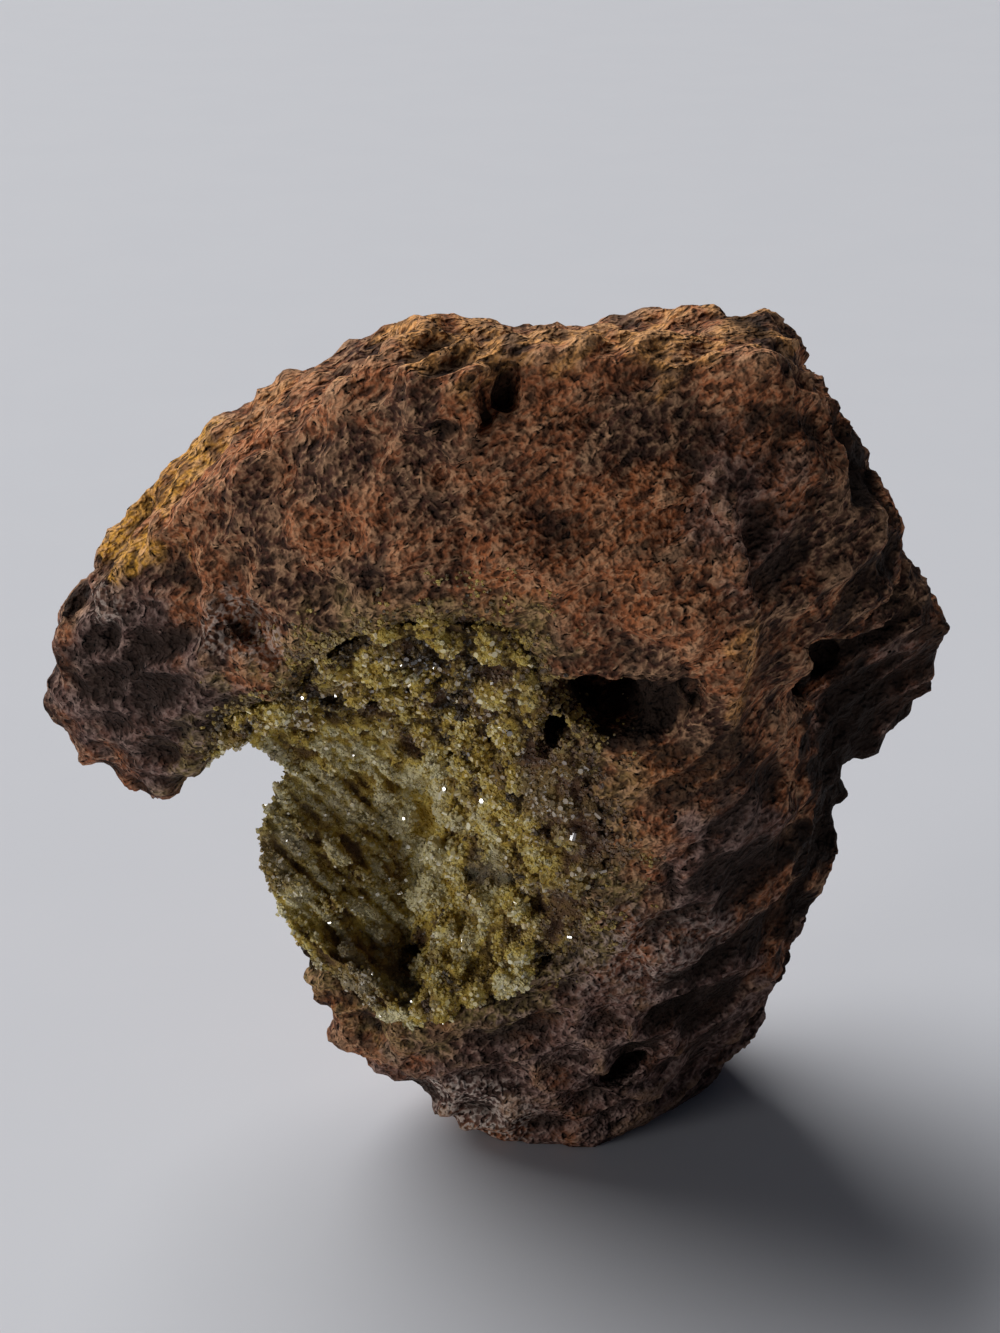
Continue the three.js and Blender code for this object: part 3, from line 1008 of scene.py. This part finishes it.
@dataclass(frozen=True)
class Crystals:
    """Many small stubby six-sided crystals bedded in a surface, joined into one piece."""

    name: str
    most: int
    seed: int
    radius: Range = (0.13, 0.28)
    height: Range = (0.45, 0.85)
    sunk: float = 0.52
    tilt: float = 0.7
    least_upright: float = 0.25
    apart: float = 0.0
    jitter: float = 0.3
    bevelled: bool = False
    shaft: float = 0.8
    bevel: float = 0.44
    tip: float = 0.2

    def shape(self) -> tuple[Array, list[tuple[int, ...]]]:
        """Model the six-sided prism that is copied, a unit in radius and a unit high.

        Returns:
            Its corners, and the corners of each face.
        """
        bpy.ops.object.select_all(action="DESELECT")
        middle = (0, 0, self.shaft / 2)
        bpy.ops.mesh.primitive_cylinder_add(vertices=6, radius=1.0, depth=self.shaft, location=middle)
        prism = bpy.context.active_object
        if self.bevelled:
            for face in prism.data.polygons:
                face.select = face.normal.z > 0.9  # its upper end
            bpy.ops.object.mode_set(mode="EDIT")
            bpy.ops.mesh.select_mode(type="FACE")
            bpy.ops.mesh.inset(thickness=self.bevel, depth=0.0)
            bpy.ops.transform.translate(value=(0, 0, self.tip))
            bpy.ops.object.mode_set(mode="OBJECT")
        corners = np.array([prism.matrix_world @ v.co for v in prism.data.vertices])
        faces = [tuple(p.vertices) for p in prism.data.polygons]
        bpy.data.objects.remove(prism)
        return corners, faces

    def scatter(self, points: Array, chance: Array, size: Array) -> list[int]:
        """Choose where the bodies stand, no two too close.

        Args:
            points: places in millimetres.
            chance: how likely each is, 0 to 1.
            size: how large its body is, as a share of the usual.

        Returns:
            The chosen points' numbers.
        """
        dice = random.Random(self.seed)
        order = [i for i in range(len(points)) if chance[i] > dice.random()]
        dice.shuffle(order)
        if not self.apart:
            return order[: self.most]
        cell = 2 * self.radius[1] * self.apart
        taken: dict[tuple[int, int, int], list[int]] = {}
        chosen: list[int] = []
        steps = [(x, y, z) for x in (-1, 0, 1) for y in (-1, 0, 1) for z in (-1, 0, 1)]
        keys = np.floor(points / cell).astype(int)
        places = points.tolist()
        for i in order:
            x, y, z = keys[i].tolist()
            around = (j for a, b, c in steps for j in taken.get((x + a, y + b, z + c), ()))
            if any(math.dist(places[i], places[j]) < cell * size[i] for j in around):
                continue
            taken.setdefault((x, y, z), []).append(i)
            chosen.append(i)
            if len(chosen) == self.most:
                break
        return chosen

    def build(
        self, points: Array, facing: Array, chance: Array, size: Array
    ) -> tuple[Object, Array, Array]:
        """Stand a body at each chosen point and join them.

        Args:
            points: places in millimetres.
            facing: the surface's way out at each.
            chance: how likely a body is there.
            size: how large it is, as a share of the usual.

        Returns:
            The piece, the number of the point that each vertex stands on, and a random number from a
            bell curve for each vertex. Both are the same all over one body.
        """
        shapes = [self.shape()]
        dice = random.Random(self.seed + 100)  # not the dice that scatter throws
        corners, faces, roots, lots = [], [], [], []
        count = 0
        for i in self.scatter(points, chance, size):
            shape, sides = dice.choice(shapes)
            out = Vector(facing[i])
            axis = (out + Vector([dice.gauss(0, self.tilt) for _ in range(3)])).normalized()
            if axis.dot(out) < self.least_upright:
                axis = out
            spin = Matrix.Rotation(dice.uniform(0, math.tau), 3, "Z")
            turn = np.array(axis.to_track_quat("Z", "Y").to_matrix() @ spin)
            share = dice.random() ** 2  # most are small
            wide = (self.radius[0] + share * (self.radius[1] - self.radius[0])) * size[i]
            tall = (self.height[0] + share * (self.height[1] - self.height[0])) * size[i]
            slide = Vector([dice.uniform(-self.jitter, self.jitter) for _ in range(3)])
            foot = points[i] + np.array(slide - slide.project(out)) - np.array(axis) * tall * self.sunk
            corners.append((shape * (wide, wide, tall)) @ turn.T + foot)
            faces += [tuple(c + count for c in side) for side in sides]
            roots += [i] * len(shape)
            lots += [dice.gauss(0, 1)] * len(shape)
            count += len(shape)
        placed = np.concatenate(corners)
        placed[:, 2] = np.maximum(placed[:, 2], 0.0)
        mesh = bpy.data.meshes.new(self.name)
        mesh.from_pydata((placed * MM).tolist(), [], faces)
        piece = bpy.data.objects.new(self.name, mesh)
        bpy.context.scene.collection.objects.link(piece)
        return piece, np.array(roots), np.array(lots)


@dataclass
class Studio:
    """A pale floor, a window's soft light from behind on the left, a low fill, and the camera."""

    camera_place: Point = (-10.0, -210.65, 151.58)
    camera_down: float = 25.0
    lens: float = 59.4
    floor_side: float = 40000.0
    paper: str = "#DADBE0"
    paper_shade: str = "#C6C9D2"
    paper_cloud: Grain = Grain(30.0, 4.0)
    paper_mottle: Coat = Coat(0.35, 0.65, 0.05)
    paper_roughness: float = 0.85
    air: str = "#CBD9F7"
    air_strength: float = 0.036
    window_turn: Point = (45.0, 0.0, 225.0)
    window_spread: float = 58.0
    window_strength: float = 3.12
    fill_turn: Point = (85.0, 0.0, 301.0)
    fill_spread: float = 24.0
    fill_strength: float = 1.15
    nearest: float = 10.0
    farthest: float = 20000.0

    def build(self) -> None:
        """Set the whole studio up."""
        self.floor()
        self.lamp("window", self.window_turn, self.window_spread, self.window_strength)
        self.lamp("low_fill", self.fill_turn, self.fill_spread, self.fill_strength)
        self.surroundings()
        self.camera()

    def floor(self) -> None:
        """A sheet of pale paper, larger than any view of it."""
        bpy.ops.object.select_all(action="DESELECT")
        bpy.ops.mesh.primitive_plane_add(size=self.floor_side * MM)
        floor = bpy.context.active_object
        floor.name = "paper_floor"
        # matt paper has no shine, only a faint cloudiness, so shadows lie on it soft and plain
        material, tree, shader, place = start_material("paper, matt", Roughness=self.paper_roughness)
        cloud = add_node(tree, "TexNoise", self.paper_cloud.inputs(place)).outputs[0]
        tint = self.paper_mottle.lay(tree, cloud, self.paper, self.paper_shade)
        tree.links.new(tint, shader.inputs["Base Color"])
        floor.data.materials.append(material)

    @staticmethod
    def lamp(name: str, turn: Point, spread: float, strength: float) -> None:
        """Hang a wide even light far off, with a soft-edged shadow.

        Args:
            name: the light's name.
            turn: its turn in degrees.
            spread: how wide it looks from the specimen, in degrees.
            strength: its strength in watts a square metre.
        """
        bpy.ops.object.light_add(type="SUN", rotation=[math.radians(a) for a in turn])
        made = bpy.context.active_object
        made.name = name
        made.data.angle = math.radians(spread)
        made.data.energy = strength

    def surroundings(self) -> None:
        """Dim even light from all round."""
        world = bpy.data.worlds.new("pale room")
        world.use_nodes = True
        background = world.node_tree.nodes["Background"]
        background.inputs["Color"].default_value = linear(self.air)
        background.inputs["Strength"].default_value = self.air_strength
        bpy.context.scene.world = world

    def camera(self) -> None:
        """Place the camera and make it the scene's."""
        turn = (math.radians(90 - self.camera_down), 0.0, 0.0)
        bpy.ops.object.camera_add(location=Vector(self.camera_place) * MM, rotation=turn)
        camera = bpy.context.active_object
        camera.data.lens = self.lens
        camera.data.clip_start = self.nearest * MM
        camera.data.clip_end = self.farthest * MM
        bpy.context.scene.camera = camera
        bpy.context.scene.view_settings.view_transform = "Standard"


@dataclass(frozen=True)
class Strip:
    """Crystals strewn on the rock round the crust, in clumps that thin out farther off."""

    crystals: Crystals
    reach: float  # how far from the crust they stand at most
    thinning: float  # how fast the clumps thin out
    clumped: Range
    bare: bool = False  # only where no crust is over the rock


@dataclass
class Specimen:
    """The whole specimen: the lump, its crust, and what is bedded in both."""

    gossan: Gossan = field(default_factory=Gossan)
    druse: Druse = field(default_factory=Druse)
    rock: GossanFinish = GossanFinish()
    coated: PyromorphiteFinish = PyromorphiteFinish("pyromorphite, crust", 0.8, 0.04)
    small: PyromorphiteFinish = PyromorphiteFinish("pyromorphite, small crystals", 0.35, 0.3)
    clean: PyromorphiteFinish = PyromorphiteFinish("pyromorphite, clean crystals", 0.08, 0.9, rough=False)
    seat: float = 1.4  # the crust is seen where no rock is nearer in front of it
    cover: float = 1.0  # the rock is bare where no crust is nearer in front of it
    every: int = 3  # of the crust's vertices, one in so many is measured to
    crust_tone: float = -0.06
    cover_tone: float = 0.13
    stripe: Range = (-0.25, 0.1)
    row_size: float = 0.2
    row_bare: float = 0.5
    heights: Point = (8, 50, 90)  # percentiles of the crust's relief
    clump: float = 2.4
    strip_from: Range = (-42, -35)
    strip_rise: Range = (22, 28)
    strip_size: float = 1.05
    strip_shrink: float = 0.06
    strip_sizes: Range = (0.55, 1.0)
    strip_tone: float = 0.36
    clump_tone: float = 0.35
    far_tone: float = 0.03
    lot_tone: float = 0.12
    strips: tuple[Strip, ...] = (
        Strip(Crystals("crystals_fringe", 9600, 4), 8.0, 0.1, (-0.35, 0.1), bare=True),
        Strip(Crystals("crystals_rim", 4500, 8, (0.2, 0.36), (0.5, 0.9)), 2.4, 0.3, (-1.1, -0.4)),
    )

    def build(self) -> None:
        """Build and dress every piece."""
        rock, coated = self.rock.material(), self.coated.material()
        small, clean = self.small.material(), self.clean.material()
        lump, lump_relief = self.gossan.build()
        crust, crust_relief = self.druse.build()

        skin, skin_out = points_of(crust), normals_of(crust)
        seen = open_side(skin, skin_out, bvh_of(lump), self.seat)
        stone, stone_out = points_of(lump), normals_of(lump)
        near = distance_to(stone, skin[seen][:: self.every])
        bare = open_side(stone, stone_out, bvh_of(crust), self.cover)

        self.gossan.paint(lump, stone, near, lump_relief)
        finish_piece(lump, rock)
        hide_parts("gossan_matrix")
        self.druse.paint(crust, skin, self.druse.tone(skin, crust_relief) + self.crust_tone)
        finish_piece(crust, coated)
        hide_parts("pyromorphite_druse")

        self.grow_cover(skin, skin_out, seen, crust_relief, (small, clean))
        self.grow_strips(stone, stone_out, bare, near, small)

    def grow_cover(
        self, skin: Array, out: Array, seen: Array, relief: Array, finishes: tuple[Material, Material]
    ) -> None:
        """Cover the crust with crystals: fine ones all over, and larger ones the farther out it stands.

        Args:
            skin: the crust's vertices, in millimetres.
            out: their normals.
            seen: which of them are on its open side.
            relief: how far each came out, in millimetres.
            finishes: the materials of the small crystals and of the large ones.
        """
        small, clean = finishes
        tone = self.druse.tone(skin, relief)
        rows = self.druse.rows(skin)
        stripes = smooth(self.druse.striping(skin), *self.stripe)
        size = 1 - self.row_size * rows
        seen = seen & (rows * (1 - stripes) < self.row_bare)
        low, middle, high = np.percentile(relief[seen], self.heights)
        fine = Crystals("crystals_fine", 9800, 6, (0.1, 0.2), (0.35, 0.6))
        usual = Crystals("crystals_small", 9800, 3, (0.16, 0.34), (0.5, 0.85))
        large = Crystals("crystals_large", 2900, 5, (0.18, 0.32), (0.6, 1.0), apart=0.6, bevelled=True)
        covers = (
            (fine, np.ones(len(skin)), small),
            (usual, smooth(relief, low, middle), small),
            (large, smooth(relief, middle, high), clean),
        )
        for cover, chance, finish in covers:
            piece, roots, lots = cover.build(skin, out, np.where(seen, chance, 0.0), size)
            self.druse.paint(piece, skin[roots], tone[roots] + self.cover_tone * lots)
            finish_piece(piece, finish, flat=True)

    def grow_strips(self, stone: Array, out: Array, bare: Array, near: Array, finish: Material) -> None:
        """Strew clumps of crystals on the rock at the crust's edge.

        Args:
            stone: the lump's vertices, in millimetres.
            out: their normals.
            bare: which of them no crust covers.
            near: how far each is from the crust, in millimetres.
            finish: the crystals' material.
        """
        clump = wander(stone, self.clump, Seed.FRINGE, 3)
        above = smooth(stone[:, 2], *self.strip_rise) * smooth(stone[:, 0], *self.strip_from)
        size = np.clip(self.strip_size - self.strip_shrink * near, *self.strip_sizes)
        tone = self.strip_tone + self.clump_tone * clump - self.far_tone * near
        for strip in self.strips:
            within = near < strip.reach
            if strip.bare:
                within = within & bare
            weight = smooth(clump - strip.thinning * near, *strip.clumped)
            chance = np.where(within, weight, 0.0) * above
            piece, roots, lots = strip.crystals.build(stone, out, chance, size)
            self.druse.paint(piece, stone[roots], tone[roots] + self.lot_tone * lots)
            finish_piece(piece, finish, flat=True)


def main() -> None:
    logging.basicConfig(level=logging.INFO, format="%(name)s %(message)s")
    Specimen().build()
    Studio().build()


if __name__ == "__main__":
    main()
